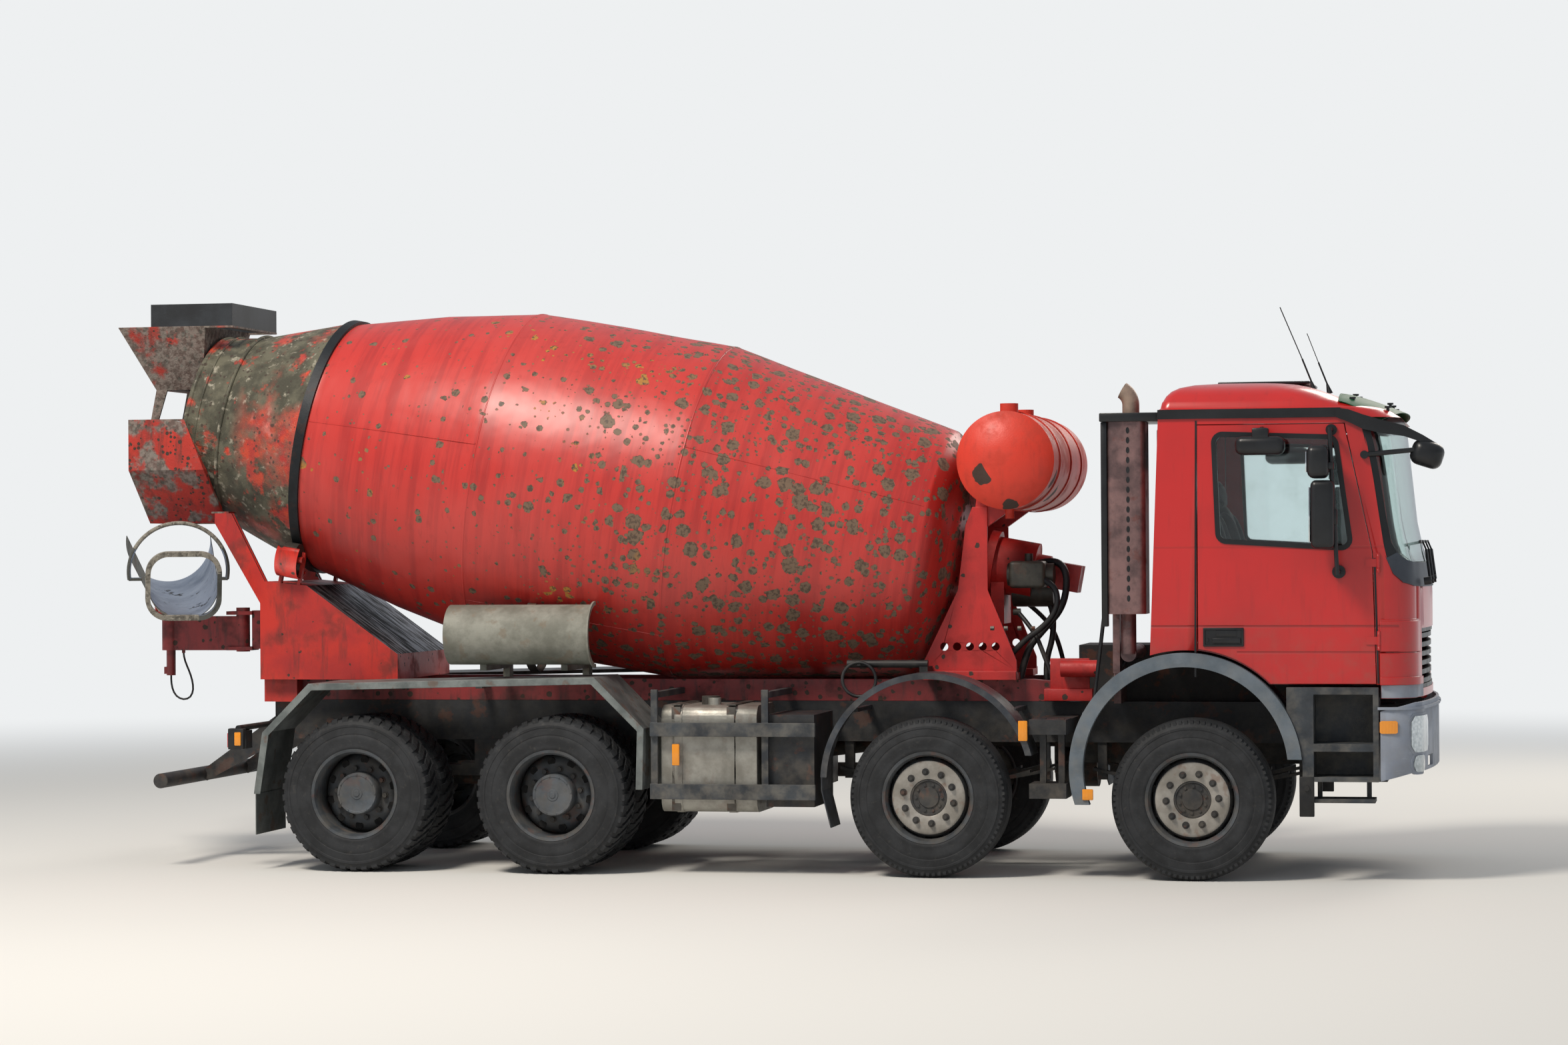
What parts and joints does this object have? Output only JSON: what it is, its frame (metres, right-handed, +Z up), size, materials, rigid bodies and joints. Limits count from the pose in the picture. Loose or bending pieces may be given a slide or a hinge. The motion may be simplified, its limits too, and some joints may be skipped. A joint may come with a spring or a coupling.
{
  "type": "concrete mixer truck",
  "caption": "Four-axle concrete mixer truck with a tilting cab, steered front axles, rotating drum on rollers, hopper and swinging discharge chute.",
  "frame": {"origin": "ground level under the middle of the truck's bounding box", "axes": "+X forwards, +Y to the truck's left, +Z up"},
  "size_m": [9.2755, 2.9, 3.86],
  "materials": {
    "black_plastic": "black plastic",
    "cab_paint": "red enamel",
    "cast_metal": "oily cast iron",
    "chassis_paint": "dusty dark paint",
    "chute_steel": "scoured steel with dried concrete",
    "drum_paint": "faded red paint, rust where it has gone",
    "grey_plastic": "dusty grey plastic",
    "hopper_paint": "scraped red paint with dried concrete",
    "lamp_glass": "clear lamp cover",
    "ring_steel": "worn greased steel",
    "rubber": "dull rubber",
    "seat_fabric": "grey woven seat cloth",
    "subframe_paint": "faded red paint",
    "tank_paint": "peeling orange red paint",
    "tyre_rubber": "dusty tyre",
    "window_glass": "tinted glass",
    "zinc_sheet": "weathered zinc coat"
  },
  "bodies": {
    "chassis": {"frame_rails": "chassis_paint", "subframe": "subframe_paint", "engine": "cast_metal", "front_axles": "chassis_paint", "rear_axles": "chassis_paint", "leaf_springs": "chassis_paint", "bumper": "grey_plastic", "headlamps": "lamp_glass", "step_wells": "grey_plastic", "front_arches": "grey_plastic", "mid_fenders": "black_plastic", "rear_fenders": "zinc_sheet", "side_guards": "grey_plastic", "fuel_tank": "zinc_sheet", "battery_box": "chassis_paint", "muffler": "zinc_sheet", "pedestal": "subframe_paint", "drum_drive": "cast_metal", "water_tank": "tank_paint", "lance": "subframe_paint", "rear_support": "subframe_paint", "charge_hopper": "hopper_paint", "hopper_flap": "rubber", "discharge_funnel": "hopper_paint", "chute_arm": "subframe_paint", "jack_hose": "rubber", "spare_chute": "zinc_sheet", "underrun_bar": "chassis_paint"},
    "cab": {"cab_shell": "cab_paint", "cab_roof": "cab_paint", "windscreen": "window_glass", "front_grille": "black_plastic", "sun_visor": "window_glass", "front_mirror": "black_plastic", "cab_interior": "seat_fabric"},
    "door_left": {"door_left": "cab_paint", "door_glass_left": "window_glass", "mirrors_left": "black_plastic"},
    "door_right": {"door_right": "cab_paint", "door_glass_right": "window_glass", "mirrors_right": "black_plastic"},
    "drum": {"drum_shell": "drum_paint", "drum_ring": "ring_steel", "drum_blades": "drum_paint"},
    "roller_left": {"roller_left": "ring_steel"},
    "roller_right": {"roller_right": "ring_steel"},
    "chute_swivel": {"chute_swivel": "subframe_paint"},
    "main_chute": {"main_chute": "chute_steel"},
    "knuckle_1_left": {"knuckle_1_left": "chassis_paint"},
    "knuckle_1_right": {"knuckle_1_right": "chassis_paint"},
    "knuckle_2_left": {"knuckle_2_left": "chassis_paint"},
    "knuckle_2_right": {"knuckle_2_right": "chassis_paint"},
    "wheel_1_left": {"wheel_1_left": "tyre_rubber"},
    "wheel_1_right": {"wheel_1_right": "tyre_rubber"},
    "wheel_2_left": {"wheel_2_left": "tyre_rubber"},
    "wheel_2_right": {"wheel_2_right": "tyre_rubber"},
    "wheel_3_left": {"wheel_3_left": "tyre_rubber"},
    "wheel_3_right": {"wheel_3_right": "tyre_rubber"},
    "wheel_4_left": {"wheel_4_left": "tyre_rubber"},
    "wheel_4_right": {"wheel_4_right": "tyre_rubber"}
  },
  "joints": [
    {"name": "cab_tilt", "type": "hinge", "parent": "chassis", "child": "cab", "pos_m": [4.47203, 0, 1.165], "axis": [0, 1, 0], "range_deg": [0, 60]},
    {"name": "door_left_hinge", "type": "hinge", "parent": "cab", "child": "door_left", "pos_m": [4.21703, 1.164, 1.5], "axis": [0, 0, -1], "range_deg": [0, 70]},
    {"name": "door_right_hinge", "type": "hinge", "parent": "cab", "child": "door_right", "pos_m": [4.21703, -1.164, 1.5], "axis": [0, 0, 1], "range_deg": [0, 70]},
    {"name": "drum_spin", "type": "hinge", "parent": "chassis", "child": "drum", "pos_m": [0.03703, 0, 2.307], "axis": [-0.9837, 0, 0.1797], "continuous": true},
    {"name": "roller_left_spin", "type": "hinge", "parent": "chassis", "child": "roller_left", "pos_m": [-3.15794, 0.61954, 2.08441], "axis": [-0.9837, 0, 0.1797], "continuous": true},
    {"name": "roller_right_spin", "type": "hinge", "parent": "chassis", "child": "roller_right", "pos_m": [-3.15794, -0.61954, 2.08441], "axis": [-0.9837, 0, 0.1797], "continuous": true},
    {"name": "chute_swing", "type": "hinge", "parent": "chassis", "child": "chute_swivel", "pos_m": [-4.28297, 0, 1.6], "axis": [0, 0, -1], "range_deg": [0, 231.2]},
    {"name": "chute_tilt", "type": "hinge", "parent": "chute_swivel", "child": "main_chute", "pos_m": [-4.28297, 0, 1.8], "axis": [0.9018, 0.4321, 0], "range_deg": [-8, 12]},
    {"name": "steer_1_left", "type": "hinge", "parent": "chassis", "child": "knuckle_1_left", "pos_m": [3.03703, 0.9, 0.518], "axis": [0, 0, 1], "range_deg": [-35, 35]},
    {"name": "steer_1_right", "type": "hinge", "parent": "chassis", "child": "knuckle_1_right", "pos_m": [3.03703, -0.9, 0.518], "axis": [0, 0, 1], "range_deg": [-35, 35]},
    {"name": "steer_2_left", "type": "hinge", "parent": "chassis", "child": "knuckle_2_left", "pos_m": [1.33703, 0.9, 0.518], "axis": [0, 0, 1], "range_deg": [-22.75, 22.75]},
    {"name": "steer_2_right", "type": "hinge", "parent": "chassis", "child": "knuckle_2_right", "pos_m": [1.33703, -0.9, 0.518], "axis": [0, 0, 1], "range_deg": [-22.75, 22.75]},
    {"name": "wheel_1_left_spin", "type": "hinge", "parent": "knuckle_1_left", "child": "wheel_1_left", "pos_m": [3.03703, 1.03, 0.518], "axis": [0, 1, 0], "continuous": true},
    {"name": "wheel_1_right_spin", "type": "hinge", "parent": "knuckle_1_right", "child": "wheel_1_right", "pos_m": [3.03703, -1.03, 0.518], "axis": [0, 1, 0], "continuous": true},
    {"name": "wheel_2_left_spin", "type": "hinge", "parent": "knuckle_2_left", "child": "wheel_2_left", "pos_m": [1.33703, 1.03, 0.518], "axis": [0, 1, 0], "continuous": true},
    {"name": "wheel_2_right_spin", "type": "hinge", "parent": "knuckle_2_right", "child": "wheel_2_right", "pos_m": [1.33703, -1.03, 0.518], "axis": [0, 1, 0], "continuous": true},
    {"name": "wheel_3_left_spin", "type": "hinge", "parent": "chassis", "child": "wheel_3_left", "pos_m": [-1.16297, 0.928, 0.518], "axis": [0, 1, 0], "continuous": true},
    {"name": "wheel_3_right_spin", "type": "hinge", "parent": "chassis", "child": "wheel_3_right", "pos_m": [-1.16297, -0.928, 0.518], "axis": [0, 1, 0], "continuous": true},
    {"name": "wheel_4_left_spin", "type": "hinge", "parent": "chassis", "child": "wheel_4_left", "pos_m": [-2.51297, 0.928, 0.518], "axis": [0, 1, 0], "continuous": true},
    {"name": "wheel_4_right_spin", "type": "hinge", "parent": "chassis", "child": "wheel_4_right", "pos_m": [-2.51297, -0.928, 0.518], "axis": [0, 1, 0], "continuous": true}
  ],
  "couplings": [
    {"joint": "steer_1_right", "follows": "steer_1_left", "ratio": 1},
    {"joint": "steer_2_left", "follows": "steer_1_left", "ratio": 0.65},
    {"joint": "steer_2_right", "follows": "steer_1_left", "ratio": 0.65},
    {"joint": "roller_left_spin", "follows": "drum_spin", "ratio": -8.1455},
    {"joint": "roller_right_spin", "follows": "drum_spin", "ratio": -8.1455}
  ]
}
